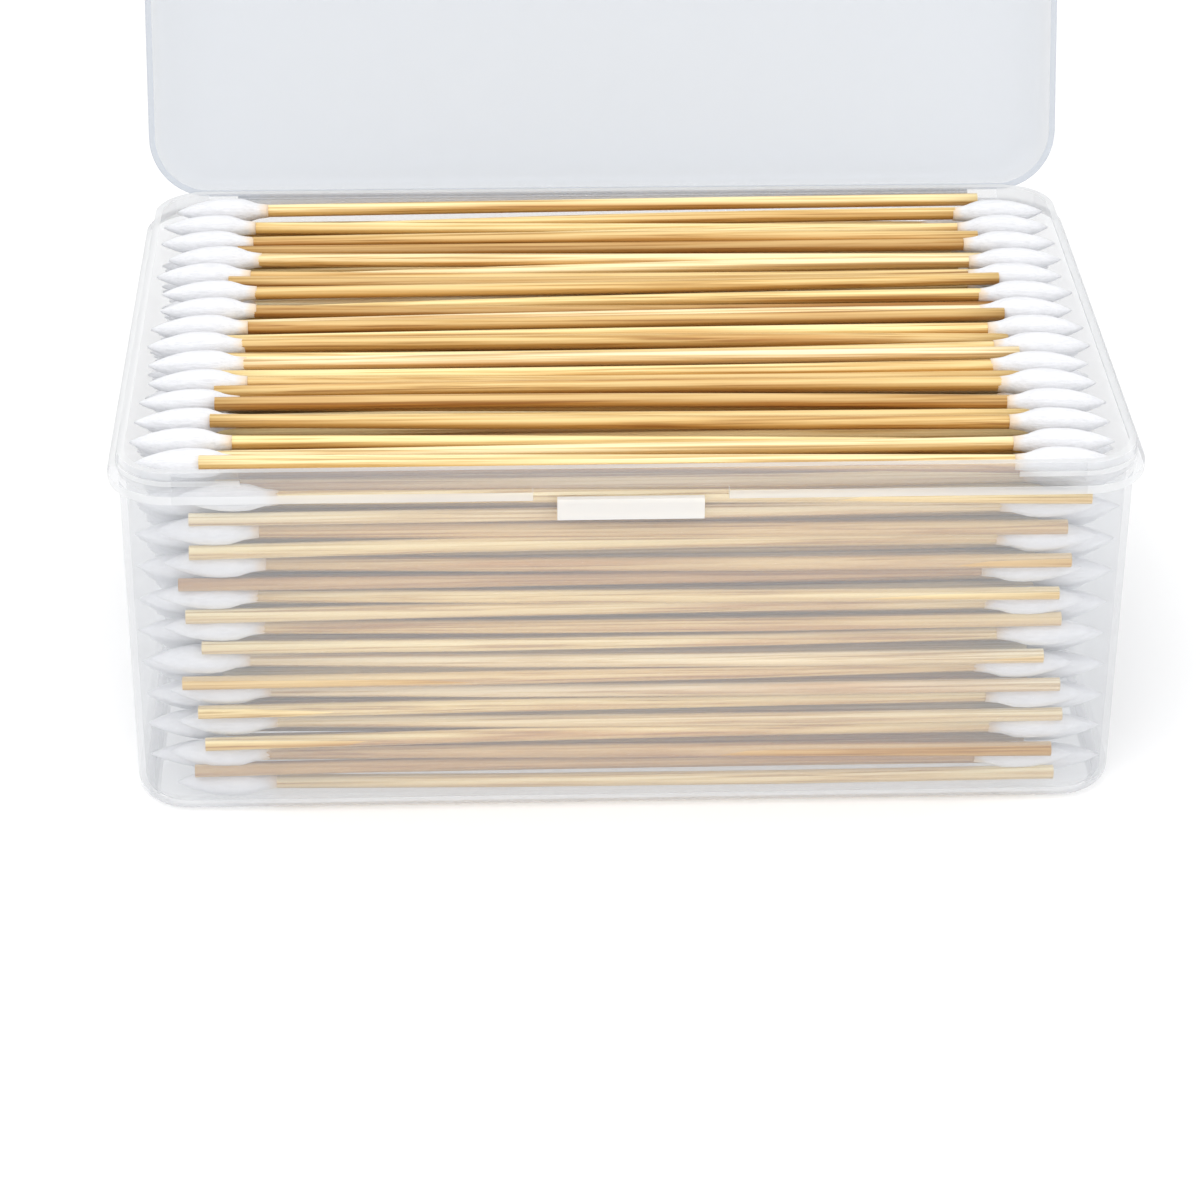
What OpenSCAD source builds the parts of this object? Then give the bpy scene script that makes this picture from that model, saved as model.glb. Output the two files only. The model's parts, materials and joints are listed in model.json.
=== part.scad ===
// Cotton swab tub: a clear moulded box with a hinged lid, packed with long
// bamboo swabs that lie side by side, their pointed cotton heads turned to
// the left and to the right by turns.
// Millimetres, +Z up, front of the tub towards -Y.
// The origin is the centre of the tub's underside.

/* [Tub] */
// Length of the rim flange, end to end
flange_length = 169.5; // [140:0.5:220]
// Depth of the rim flange, front to back
flange_depth = 114; // [70:0.5:160]
// Height of the tub from its base to the top of its rim
tub_height = 65.5; // [35:0.1:100]
// Wall thickness of the tub and the lid
wall = 1.2; // [0.8:0.1:2]
// How far each wall leans in between the flange and the base
draft = 0.1; // [0:0.1:1]
// Corner radius of the flange, seen from above
corner_radius = 11; // [8:0.5:20]
// Rounding between the walls and the base
base_round = 3; // [1:0.1:5]
// How far the flange stands out from the wall
flange_overhang = 1.7; // [1.2:0.1:4]
// Thickness of the flange
flange_thickness = 1.5; // [0.8:0.1:3]
// Height of the rim above the flange
rim_rise = 3.5; // [2:0.1:6]

/* [Latch] */
// Width of the gap in the front flange that the tab drops through
latch_gap = 31.6; // [20:0.1:60]
// Width of the catch on the front wall
catch_width = 23.8; // [10:0.1:50]
// Height of the catch
catch_height = 3.6; // [2:0.1:6]
// How far the catch stands out from the wall
catch_proud = 1.4; // [0.6:0.1:2]
// Side clearance of the tab in the flange gap
tab_clearance = 0.8; // [0.4:0.1:2]
// Thickness of the tab
tab_thickness = 1.3; // [0.8:0.1:2]

/* [Lid] */
// Height of the lid's skirt, outside
lid_height = 13; // [8:0.5:30]
// Rounding between the lid's skirt and its panel
lid_round = 2.4; // [1:0.1:4]
// How far the lid is opened, from closed
open_angle = 109; // [95:1:120]
// Gap between the closed lid and the flange
seat_gap = 0.3; // [0.2:0.1:1]
// Length of the film hinge
hinge_length = 137; // [60:1:150]
// Thickness of the film hinge
hinge_film = 0.5; // [0.3:0.1:0.8]
// Height of the hinge line above the flange
hinge_rise = 1.4; // [0.8:0.1:2]

/* [Swabs] */
// Length of a swab, tip to bare end
swab_length = 149; // [100:0.5:152]
// Diameter of the bamboo stick
stick_diameter = 2.2; // [1.6:0.1:3]
// Greatest diameter of the cotton head
head_diameter = 4.6; // [4:0.1:5.4]
// Length of the pointed part of the head
head_length = 13.8; // [10:0.1:18]
// Length of the thin neck of cotton behind the head
neck_length = 3; // [1.5:0.1:5]
// Least spacing of the sticks side by side
side_pitch = 4.3; // [4.2:0.05:8]
// Least spacing of the layers
layer_pitch = 3.04; // [3.04:0.01:6]
// Gap between the packed heads and the tub
pack_gap = 0.2; // [0.15:0.05:1]

/* [Hidden] */
PLASTIC = [0.89, 0.91, 0.92, 0.55];
BAMBOO = [0.87, 0.72, 0.45];
COTTON = [0.97, 0.97, 0.98];

EPS = 0.01;
CORNER_SIDES = 48;
ROUND_STEPS = 5;

// Tub levels and plan sizes
flange_top = tub_height - rim_rise;
flange_under = flange_top - flange_thickness;
wall_length = flange_length - 2 * flange_overhang;
wall_depth = flange_depth - 2 * flange_overhang;
wall_radius = corner_radius - flange_overhang;
inner_length = wall_length - 2 * wall;
inner_depth = wall_depth - 2 * wall;
inner_radius = wall_radius - wall;
floor_top = wall;
least_round = 0.3;
inner_base_round = max(base_round - wall, least_round);
inner_lid_round = max(lid_round - wall, least_round);

// Low beads round the corners of the rim, which grip the closed lid
bead_proud = 0.35;
bead_height = 0.9;
bead_rise = 1.1;
bead_reach = 11;

// Latch
catch_top_gap = 0.2;
catch_slope = 0.8;
tab_air = 0.5;
tab_tip = 1.6;
tab_bead = 0.25;
tab_bead_height = 1;
tab_root = 5.5;
finger_lip = 1;

// Hinge line behind the flange, and the air that the film needs to fold
hinge_y = flange_depth / 2 + hinge_film / 2;
fold_air = 0.5;
leaf_root = 1.4;
// The lid's back wall swings between the hinge line and the tub's rim, so
// the line may rise only as far as the wall's lower inner corner passes
swing_air = 0.1;
corner_run = hinge_film / 2 + wall;
rim_run = hinge_film / 2 + flange_overhang - swing_air;
swing_rise = sqrt(max(0, rim_run * rim_run - corner_run * corner_run));
hinge_z = flange_top + max(fold_air, min(hinge_rise, seat_gap + swing_rise));

// Packing: below, the bare ends lie over and under the backs of the heads of
// the next layers. The top layer is loose: its heads rest on the heads below,
// as close side by side as a head and a stick go.
stick_r = stick_diameter / 2;
head_r = head_diameter / 2;
head_bore_gap = 0.05;
touch_gap = 0.05;
// Shares of the head's length: where the stick ends inside it, and where it
// is thickest
stick_depth = 0.6;
waist = 0.66;
side_gap = pack_gap + 0.6;
loose_shift = 1;
tip_slack = 0.6;
tip_scatter = 0.05;
// Half width of a tip, as a share of the head's radius
tip_share = 0.2;
// Room that a bare end has to each side, as a share of the column pitch
room_packed = 0.26;
room_tight = 0.16;
// A loose bare end sinks between the heads beside it or lies up on them. In
// the layers below, a bare end and a head move less.
loose_sink = 1.5;
loose_lift = 1.2;
packed_lift = 0.07;
head_wander = 0.1;
// The most that a stick of an outer column is cut short
short_cut = 2.4;
neck_wall = 0.15;
SWAB_SIDES = 24;

column_span = inner_depth - 2 * (draft + head_r + side_gap);
columns = floor(column_span / side_pitch) + 1;
column_pitch = column_span / (columns - 1);
top_span = inner_depth - 2 * (head_r + side_gap);
top_columns = floor(top_span / (head_r + stick_r + touch_gap)) + 1;
top_pitch = top_span / (top_columns - 1);
z_first = floor_top + head_r + pack_gap;
z_top = tub_height - head_r;
pack_span = z_top - head_diameter - touch_gap - z_first;
packed_layers = floor(pack_span / layer_pitch) + 1;
packed_pitch = pack_span / (packed_layers - 1);
layers = packed_layers + 1;

function layer_name(kind, k) = str(kind, "_layer_", k < 9 ? "0" : "", k + 1);

// Plan and shell shapes

// A flat plate with rounded corners, from true arcs and straight sides
module rounded_slab(length, depth, radius, height) {
    linear_extrude(height)
        union() {
            square([length - 2 * radius, depth], center = true);
            square([length, depth - 2 * radius], center = true);
            for (x = [-1, 1], y = [-1, 1])
                translate([x * (length / 2 - radius), y * (depth / 2 - radius)])
                    circle(r = radius, $fn = CORNER_SIDES);
        }
}

// One turned corner post: radius `foot` at z = 0, where it is rounded by
// `round`, and radius `head` at z = height
module corner_post(foot, head, height, round) {
    rotate_extrude($fn = CORNER_SIDES)
        polygon(concat(
            [[0, 0]],
            [for (i = [0 : ROUND_STEPS])
                let (a = 90 * i / ROUND_STEPS)
                [foot - round + round * sin(a), round - round * cos(a)]],
            [[head, height], [0, height]]
        ));
}

// A box with upright rounded corners, a rounded lower edge and walls that
// lean out by `lean` on their way up
module dish(length, depth, radius, height, round, lean) {
    hull()
        for (x = [-1, 1], y = [-1, 1])
            translate([x * (length / 2 - radius), y * (depth / 2 - radius), 0])
                corner_post(radius - lean, radius, height, round);
}

// Tub

module tub_shell() {
    difference() {
        dish(wall_length, wall_depth, wall_radius, tub_height, base_round, draft);
        translate([0, 0, floor_top])
            dish(
                inner_length, inner_depth, inner_radius,
                tub_height - floor_top + EPS, inner_base_round, draft
            );
    }
}

module flange() {
    inset = 2 * (flange_overhang + wall / 2 + draft);
    translate([0, 0, flange_under])
        difference() {
            rounded_slab(flange_length, flange_depth, corner_radius, flange_thickness);
            translate([0, 0, -EPS])
                rounded_slab(
                    flange_length - inset, flange_depth - inset,
                    corner_radius - inset / 2, flange_thickness + 2 * EPS
                );
            translate([-latch_gap / 2, -flange_depth / 2 - EPS, -EPS])
                cube([latch_gap, flange_overhang + EPS, flange_thickness + 2 * EPS]);
        }
}

module corner_beads() {
    proud = 2 * bead_proud;
    inset = wall;
    translate([0, 0, flange_top + bead_rise])
        difference() {
            rounded_slab(
                wall_length + proud, wall_depth + proud, wall_radius + bead_proud, bead_height
            );
            translate([0, 0, -EPS])
                rounded_slab(
                    wall_length - inset, wall_depth - inset,
                    wall_radius - inset / 2, bead_height + 2 * EPS
                );
            gap_x = wall_length - 2 * (wall_radius + bead_reach);
            gap_y = wall_depth - 2 * (wall_radius + bead_reach);
            translate([-gap_x / 2, -wall_depth, -EPS])
                cube([gap_x, 2 * wall_depth, bead_height + 2 * EPS]);
            translate([-wall_length, -gap_y / 2, -EPS])
                cube([2 * wall_length, gap_y, bead_height + 2 * EPS]);
            translate([-wall_length, wall_depth / 2 - wall_radius, -EPS])
                cube([2 * wall_length, wall_radius + 1, bead_height + 2 * EPS]);
        }
}

// The ledge on the front wall that the lid's tab snaps under: its top slopes
// out, so that the tab rides over it, and its underside is square
module catch() {
    top = flange_under - catch_top_gap;
    face = wall_depth / 2 + catch_proud;
    root = wall_depth / 2 - wall / 2;
    translate([-catch_width / 2, 0, 0])
        rotate([90, 0, 90])
            linear_extrude(catch_width)
                polygon([
                    [-root, top],
                    [-face + catch_slope / 2, top],
                    [-face, top - catch_slope],
                    [-face, top - catch_height],
                    [-root, top - catch_height]
                ]);
}

// The tub's half of the film hinge, along the back edge of the flange
module tub_hinge_leaf() {
    foot = flange_under;
    translate([-hinge_length / 2, flange_depth / 2 - hinge_film, foot])
        cube([hinge_length, hinge_film + EPS, flange_thickness]);
    translate([-hinge_length / 2, flange_depth / 2, foot])
        cube([hinge_length, hinge_film, hinge_z - fold_air - foot]);
}

module tub() {
    color(PLASTIC)
        union() {
            tub_shell();
            flange();
            corner_beads();
            catch();
            tub_hinge_leaf();
        }
}

// Lid, drawn closed and then swung open about the hinge line

module lid_shell() {
    translate([0, 0, flange_top + seat_gap])
        difference() {
            translate([0, 0, lid_height])
                mirror([0, 0, 1])
                    dish(
                        flange_length, flange_depth, corner_radius,
                        lid_height, lid_round, draft
                    );
            translate([0, 0, lid_height - wall])
                mirror([0, 0, 1])
                    dish(
                        flange_length - 2 * wall, flange_depth - 2 * wall, corner_radius - wall,
                        lid_height - wall + EPS, inner_lid_round, draft
                    );
        }
}

// The tab on the lid's front edge hangs in front of the catch, with a low
// bead inside its foot and a lip outside to lift it by
module tab() {
    width = latch_gap - 2 * tab_clearance;
    rim = flange_top + seat_gap;
    back = wall_depth / 2 + catch_proud + tab_air;
    front = back + tab_thickness;
    catch_foot = flange_under - catch_top_gap - catch_height;
    foot = catch_foot - tab_tip;
    skirt = flange_depth / 2 - wall / 2;
    lip_top = foot + 2 * finger_lip;
    translate([-width / 2, 0, 0])
        rotate([90, 0, 90])
            linear_extrude(width)
                polygon([
                    [-skirt, rim],
                    [-back, rim],
                    [-back, catch_foot],
                    [-back + tab_bead, catch_foot - tab_bead],
                    [-back + tab_bead, catch_foot - tab_bead_height],
                    [-back, foot],
                    [-front - finger_lip, foot],
                    [-front - finger_lip, foot + finger_lip / 2],
                    [-front, lip_top],
                    [-front, rim + tab_root - tab_thickness],
                    [-skirt, rim + tab_root]
                ]);
}

// The lid's half of the film hinge, along the back of the skirt
module lid_hinge_leaf() {
    translate([-hinge_length / 2, flange_depth / 2 - wall / 2, hinge_z + fold_air])
        cube([hinge_length, wall / 2 + hinge_film, leaf_root]);
}

module swing_open() {
    translate([0, hinge_y, hinge_z])
        rotate([-open_angle, 0, 0])
            translate([0, -hinge_y, -hinge_z])
                children();
}

module lid() {
    color(PLASTIC)
        swing_open()
            union() {
                lid_shell();
                tab();
                lid_hinge_leaf();
            }
}

// Swabs

// A repeatable scatter between -1 and 1 for column i of layer k
function scatter(i, k, salt) =
    let (v = 43758.5453 * sin(127.1 * i + 311.7 * k + 74.7 * salt + 12.9))
    2 * (v - floor(v)) - 1;

// A slow drift between -1 and 1, so that neighbours shift together
function drift(i, k) = 0.6 * sin(47 * i + 23 * k) + 0.4 * sin(29 * i - 61 * k + 40);

function is_top(k) = k == layers - 1;
function is_left(i, k) = (i + k) % 2 == 0;
function last_column(k) = (is_top(k) ? top_columns : columns) - 1;

function layer_z(k) = is_top(k) ? z_top : z_first + k * packed_pitch;
function column_y(i, k) =
    (i - last_column(k) / 2) * (is_top(k) ? top_pitch : column_pitch);

// How far the tub's end wall stands from the middle at height z, and how
// far a swab may reach there in the rounded corner at distance y
function end_wall(z) = inner_length / 2 - draft * (1 - z / tub_height);
function corner_reach(y, z, half_width) =
    let (
        r = inner_radius - draft,
        out = abs(y) + half_width - (inner_depth / 2 - inner_radius)
    )
    out <= 0
        ? end_wall(z)
        : inner_length / 2 - inner_radius + sqrt(max(0, r * r - out * out));

// Air between a tip and the end wall
function tip_air(i, k) =
    is_top(k)
        ? pack_gap + loose_shift * (1 + scatter(i, k, 1))
        : pack_gap + tip_slack * (1 + (is_left(i, k) ? 1 : -1) * drift(i, k))
            + tip_scatter * scatter(i, k, 1);
function tip_reach(i, k) =
    corner_reach(column_y(i, k), layer_z(k), tip_share * head_r) - pack_gap;

// The swabs of the outer columns have room to slide along the wall, until
// their bare ends meet the far corner
function outer(i, k) = !is_top(k) && (i == 0 || i == last_column(k));
function slide_room(k) =
    let (wall_y = inner_depth / 2 - draft - pack_gap - stick_r)
    tip_reach(0, k) + corner_reach(wall_y, layer_z(k), stick_r) - pack_gap - swab_length;
function slide(i, k) =
    outer(i, k) ? max(0, slide_room(k)) * (1 + scatter(i, k, 5)) / 2 : 0;
function tip_x(i, k) =
    min(end_wall(layer_z(k)) - tip_air(i, k), tip_reach(i, k)) - slide(i, k);

// How far a bare end is lifted and shifted. An outer column's bare ends lie
// against the wall, and one in from there they keep clear of it. In the top
// layer a bare end has the more room the higher or lower it lies.
function next_to_outer(i) = i == 1 || i == columns - 2;
function wall_side(i) = i < columns / 2 ? -1 : 1;
function sink(i, k) = i == 0 || i == last_column(k) ? 0 : loose_sink;
function bare_lift(i, k) =
    is_top(k)
        ? -sink(i, k) + (sink(i, k) + loose_lift) * pow((1 + scatter(i, k, 3)) / 2, 2)
        : packed_lift * scatter(i, k, 3);
function bare_room(i, k, side) =
    is_top(k)
        ? top_pitch - sqrt(pow(head_r + stick_r + touch_gap / 2, 2) - pow(bare_lift(i, k), 2))
        : (next_to_outer(i) && side == wall_side(i) ? room_tight : room_packed) * column_pitch;
function bare_shift(i, k) =
    outer(i, k)
        ? wall_side(i) * (head_r + side_gap - stick_r - pack_gap)
        : let (s = scatter(i, k, 2)) s * bare_room(i, k, sign(s));
function head_shift(i, k) =
    outer(i, k) || is_top(k) ? 0 : head_wander * scatter(i, k, 4);
function cut_off(i, k) = outer(i, k) ? short_cut * (1 + scatter(i, k, 6)) / 2 : 0;

// Places a swab that lies along X with its tip at the origin, pointing to
// -X. It turns about the thickest part of its head, by as much as its bare
// end is shifted and lifted.
module place_swab(i, k) {
    pivot = waist * head_length;
    run = swab_length - pivot;
    turn = atan2(bare_shift(i, k) - head_shift(i, k), run);
    rise = atan2(bare_lift(i, k), run);
    mirror([is_left(i, k) ? 0 : 1, 0, 0])
        translate([pivot - tip_x(i, k), column_y(i, k) + head_shift(i, k), layer_z(k)])
            rotate([0, -rise, turn])
                translate([-pivot, 0, 0])
                    children();
}

// Places a child on every swab of layer k, and tells it the column as $i
module each_swab(k) {
    for ($i = [0 : last_column(k)])
        place_swab($i, k)
            children();
}

module stick(cut) {
    start = stick_depth * head_length;
    translate([start, 0, 0])
        rotate([0, 90, 0])
            cylinder(h = swab_length - cut - start, r = stick_r, $fn = SWAB_SIDES);
}

// Outline of a head from its tip: share of the head's length and of its
// greatest radius
HEAD_SHAPE = [[0, 0.1], [0.16, 0.42], [0.36, 0.74], [0.54, 0.95], [waist, 1], [0.78, 0.93],
    [0.88, 0.78], [1, 0.63]];

module cotton_head() {
    neck_end = head_length + neck_length;
    bore_r = stick_r + head_bore_gap;
    bore_start = stick_depth * head_length - head_bore_gap;
    rotate([0, 90, 0])
        rotate_extrude($fn = SWAB_SIDES)
            polygon(concat(
                [[0, 0]],
                [for (p = HEAD_SHAPE) [p[1] * head_r, p[0] * head_length]],
                [
                    [stick_r + neck_wall, neck_end],
                    [bore_r, neck_end],
                    [bore_r, bore_start],
                    [0, bore_start]
                ]
            ));
}

module stick_layer(k) {
    color(BAMBOO) each_swab(k) stick(cut_off($i, k));
}

module cotton_layer(k) {
    color(COTTON) each_swab(k) cotton_head();
}

tub();
lid();
for (k = [0 : layers - 1]) {
    stick_layer(k);
    cotton_layer(k);
}
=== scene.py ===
"""Cotton swab tub: the looks of a frosted box packed with bamboo swabs.

Run as a script, it loads the CAD frame, makes each piece with its own
operator and lays out a white studio with the camera of the photograph.
"""
import json
import math
from collections import namedtuple

import bmesh
import bpy
import numpy as np
from mathutils import Matrix, Vector


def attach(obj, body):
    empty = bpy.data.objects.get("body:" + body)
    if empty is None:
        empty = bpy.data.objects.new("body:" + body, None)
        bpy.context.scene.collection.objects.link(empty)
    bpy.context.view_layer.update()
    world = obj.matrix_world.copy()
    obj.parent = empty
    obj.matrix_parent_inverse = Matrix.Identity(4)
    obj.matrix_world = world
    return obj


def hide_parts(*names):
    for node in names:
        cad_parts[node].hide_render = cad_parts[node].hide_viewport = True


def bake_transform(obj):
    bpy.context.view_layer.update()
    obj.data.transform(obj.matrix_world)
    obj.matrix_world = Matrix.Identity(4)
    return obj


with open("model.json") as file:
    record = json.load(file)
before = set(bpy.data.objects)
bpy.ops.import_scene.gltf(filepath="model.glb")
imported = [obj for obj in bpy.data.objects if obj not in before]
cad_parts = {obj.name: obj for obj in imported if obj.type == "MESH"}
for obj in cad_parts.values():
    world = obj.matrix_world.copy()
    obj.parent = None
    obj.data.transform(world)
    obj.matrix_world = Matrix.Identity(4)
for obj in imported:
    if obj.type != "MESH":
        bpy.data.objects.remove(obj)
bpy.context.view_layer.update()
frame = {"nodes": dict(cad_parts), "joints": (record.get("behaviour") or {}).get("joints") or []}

bl_info = {
    "name": "Cotton swab tub",
    "version": (1, 0, 0),
    "blender": (4, 5, 0),
    "location": "View3D > Sidebar > Swab tub",
    "description": "Makes the frosted tub, its lid and the packed bamboo swabs",
    "category": "Object",
}

MM = 0.001
STICK_NODES = sorted(n for n in frame["nodes"] if n.startswith("stick_layer"))
HEAD_NODES = sorted(n for n in frame["nodes"] if n.startswith("cotton_layer"))
LID_HINGE = next(j for j in frame["joints"] if j["name"] == "lid_hinge")
OPEN_ANGLE = math.radians(LID_HINGE["range_deg"][1])

# Places of the mouldings that their density follows: half sizes and corner of the tub's wall,
# levels of its flange and rim, then how far the lip's edge, the catch, the foot and the lid's rim go
TUB_WALL = (83.05 * MM, 55.3 * MM)
TUB_CORNER = 9.3 * MM
FLANGE_UNDER, FLANGE_TOP, RIM_TOP = 60.5 * MM, 62.0 * MM, 65.5 * MM
EDGE_BAND, CATCH_REACH, BASE_ROUND, LID_RIM_REACH = 0.5 * MM, 5.0 * MM, 3.0 * MM, 2.0 * MM

# How much denser than the plain wall each part of the mouldings looks
LIP_DENSITY, RIM_DENSITY, END_RIM_DENSITY = 0.45, 0.1, 0.25
FLANGE_DENSITY, END_FLANGE_DENSITY = 0.38, 0.45
CATCH_DENSITY, BASE_DENSITY = 0.72, 0.1
LID_RIM_DENSITY, FILM_DENSITY = 0.3, 0.1

# The hinge's film, the air between its two leaves and its length; the web that bridges the air is
# a little thinner than the leaves, so that their faces don't coincide
FILM, FILM_GAP, HINGE_SPAN = 0.5 * MM, 1.0 * MM, 137.0 * MM
WEB_SHARE = 0.92

# Rounding of the mouldings' edges, the angle that counts as an edge, and what counts as level
EDGE_ROUND = 0.15 * MM
SHARP = math.radians(32.0)
LEVEL = 0.95

POLYPROPYLENE_IOR = 1.49
ROUGHNESS_SPREAD = 0.07

# Faces of one stick and one head: sides round them, and pieces along them
Detail = namedtuple("Detail", "stick_sides stick_segments head_sides head_rings")
PACKED_DETAIL = Detail(9, 3, 9, 7)
TOP_DETAIL = Detail(16, 10, 20, 26)

# What keeps the random values of a swab apart: its roll, shade, girth and slope
SPIN_SEED, SHADE_SEED, GIRTH_SEED, STRAY_SEED = 0.0, 7.0, 19.0, 31.0

# How far the painted light takes a stick towards white in red, green and blue, and how fast it takes
# away the painted shade on the stick's sides
PAINTED_LIGHT_SHARES = (1.0, 0.75, 0.45)
PAINTED_SHADE_FADE = 4.0

# Outline of a cotton head: share of its length from the tip, share of its greatest radius
HEAD_OUTLINE = (
    (0.0, 0.05), (0.1, 0.37), (0.26, 0.72), (0.42, 0.94), (0.57, 1.0), (0.69, 0.96),
    (0.79, 0.8), (0.88, 0.6), (1.0, 0.5),
)


# Node trees

def add_node(tree, kind, inputs=(), **settings):
    """Adds a node, sets its properties, then fills or links its inputs by name or number."""
    node = tree.nodes.new(kind)
    for name, value in settings.items():
        setattr(node, name, value)
    for key, value in dict(inputs).items():
        socket = node.inputs[key]
        if isinstance(value, bpy.types.NodeSocket):
            tree.links.new(value, socket)
        else:
            socket.default_value = value
    return node


def shader_tree(name):
    """A material with an empty tree, its Principled shader and that shader's output link."""
    material = bpy.data.materials.new(name)
    material.use_nodes = True
    tree = material.node_tree
    tree.nodes.clear()
    shader = tree.nodes.new("ShaderNodeBsdfPrincipled")
    output = tree.nodes.new("ShaderNodeOutputMaterial")
    tree.links.new(shader.outputs["BSDF"], output.inputs["Surface"])
    return material, tree, shader


def stretched_noise(tree, vector, scale, stretch, detail=3.0, roughness=0.55):
    """Noise on a vector whose axes are stretched, such as grain that runs along X."""
    mapping = add_node(tree, "ShaderNodeMapping", {"Vector": vector, "Scale": stretch})
    return add_node(
        tree, "ShaderNodeTexNoise",
        {"Vector": mapping.outputs[0], "Scale": scale, "Detail": detail, "Roughness": roughness},
    )


def colour_ramp(tree, factor, stops):
    """A colour ramp with the given (place, colour) stops."""
    ramp = add_node(tree, "ShaderNodeValToRGB", {"Fac": factor})
    while len(ramp.color_ramp.elements) < len(stops):
        ramp.color_ramp.elements.new(0.5)
    for element, (place, colour) in zip(ramp.color_ramp.elements, stops):
        element.position, element.color = place, (*colour, 1.0)
    return ramp.outputs["Color"]


def mix_colour(tree, factor, a, b, blend="MIX"):
    """Mixes two colours; each argument is a value or an output."""
    mix = add_node(tree, "ShaderNodeMix", data_type="RGBA", blend_type=blend)
    for index, value in ((0, factor), (6, a), (7, b)):
        if isinstance(value, bpy.types.NodeSocket):
            tree.links.new(value, mix.inputs[index])
        else:
            mix.inputs[index].default_value = value if index == 0 else (*value[:3], 1.0)
    return mix.outputs[2]


def math_node(tree, operation, a, b=0.0, third=0.0, clamp=False):
    """One Math node; each argument is a value or an output."""
    return add_node(
        tree, "ShaderNodeMath", {0: a, 1: b, 2: third}, operation=operation, use_clamp=clamp
    ).outputs[0]


# Materials

def frosted_plastic(name, tint, milk, haze, settings):
    """Translucent polypropylene: lightly textured, milkier and more opaque where it is thick."""
    material, tree, shader = shader_tree(name)
    place = add_node(tree, "ShaderNodeTexCoord").outputs["Object"]
    skin = stretched_noise(tree, place, 900.0, (1, 1, 1), detail=2.0)
    cloud = stretched_noise(tree, place, 35.0, (1, 1, 1), detail=1.0)
    thick = add_node(tree, "ShaderNodeAttribute", attribute_name="thickness").outputs["Fac"]
    milky = mix_colour(tree, thick, tint, milk)
    tree.links.new(milky, shader.inputs["Base Color"])
    shader.inputs["IOR"].default_value = POLYPROPYLENE_IOR
    shader.inputs["Transmission Weight"].default_value = settings.clearness
    density = math_node(tree, "ADD", thick, haze, clamp=True)
    tree.links.new(density, shader.inputs["Alpha"])
    uneven = math_node(tree, "ADD", skin.outputs["Fac"], cloud.outputs["Fac"])
    rough = add_node(
        tree, "ShaderNodeMapRange",
        {"Value": uneven, "From Min": 0.5, "From Max": 1.5,
         "To Min": settings.roughness - ROUGHNESS_SPREAD,
         "To Max": settings.roughness + ROUGHNESS_SPREAD},
    )
    tree.links.new(rough.outputs[0], shader.inputs["Roughness"])
    bump = add_node(
        tree, "ShaderNodeBump",
        {"Height": skin.outputs["Fac"], "Strength": 0.12, "Distance": 0.1 * MM},
    )
    tree.links.new(bump.outputs[0], shader.inputs["Normal"])
    return material


def bamboo(name, settings, painted_lightening):
    """Split bamboo: each stick has its own shade and fine grain along it, with painted shade browning
    its sides and underside.

    The painted lightening, from 0 to 1, paints light onto the sticks: it makes them paler and their
    painted shade weaker.
    """
    material, tree, shader = shader_tree(name)
    place = add_node(tree, "ShaderNodeTexCoord").outputs["Object"]
    own = add_node(tree, "ShaderNodeAttribute", attribute_name="swab_shade").outputs["Fac"]
    # Painted light: the shades are taken towards white by the painted lightening, for sticks that get
    # little light inside the tub
    shades = [
        tuple(c + painted_lightening * (1.0 - c) * share for c, share in zip(shade, PAINTED_LIGHT_SHARES))
        for shade in (settings.dark, settings.middle, settings.light, settings.pale)
    ]
    shade = colour_ramp(tree, own, list(zip((0.0, 0.25, 0.65, 1.0), shades)))
    grain = stretched_noise(tree, place, 2000.0, (0.008, 1.0, 1.0), detail=3.0)
    broad = stretched_noise(tree, place, 420.0, (0.03, 1.0, 1.0), detail=2.0)
    streak = colour_ramp(tree, grain.outputs["Fac"], [
        (0.34, (0.46, 0.28, 0.11)), (0.44, (0.84, 0.72, 0.54)), (0.52, (1.0, 1.0, 1.0)),
        (0.66, (1.14, 1.18, 1.26)),
    ])
    patch = colour_ramp(tree, broad.outputs["Fac"], [
        (0.28, (0.7, 0.48, 0.28)), (0.46, (1.0, 1.0, 1.0)), (0.75, (1.06, 1.08, 1.12)),
    ])
    grained = mix_colour(tree, settings.grain, shade, streak, "MULTIPLY")
    toned = mix_colour(tree, 0.8, grained, patch, "MULTIPLY")
    # Painted shade: the colour is multiplied by a brown where the surface normal points sideways or
    # down, as if shaded from the light above; the painted lightening weakens it
    facing = add_node(tree, "ShaderNodeNewGeometry").outputs["Normal"]
    upward = add_node(tree, "ShaderNodeSeparateXYZ", {"Vector": facing}).outputs["Z"]
    painted_side_shade = colour_ramp(tree, upward, [(0.0, settings.painted_side_shade), (0.62, (1.0, 1.0, 1.0))])
    painted_shade_strength = max(0.0, 1.0 - PAINTED_SHADE_FADE * painted_lightening)
    painted_shaded_colour = mix_colour(tree, painted_shade_strength, toned, painted_side_shade, "MULTIPLY")
    tree.links.new(painted_shaded_colour, shader.inputs["Base Color"])
    shader.inputs["Roughness"].default_value = 0.5
    shader.inputs["Specular IOR Level"].default_value = 0.35
    bump = add_node(
        tree, "ShaderNodeBump",
        {"Height": grain.outputs["Fac"], "Strength": 0.35, "Distance": 0.08 * MM},
    )
    tree.links.new(bump.outputs[0], shader.inputs["Normal"])
    return material


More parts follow.
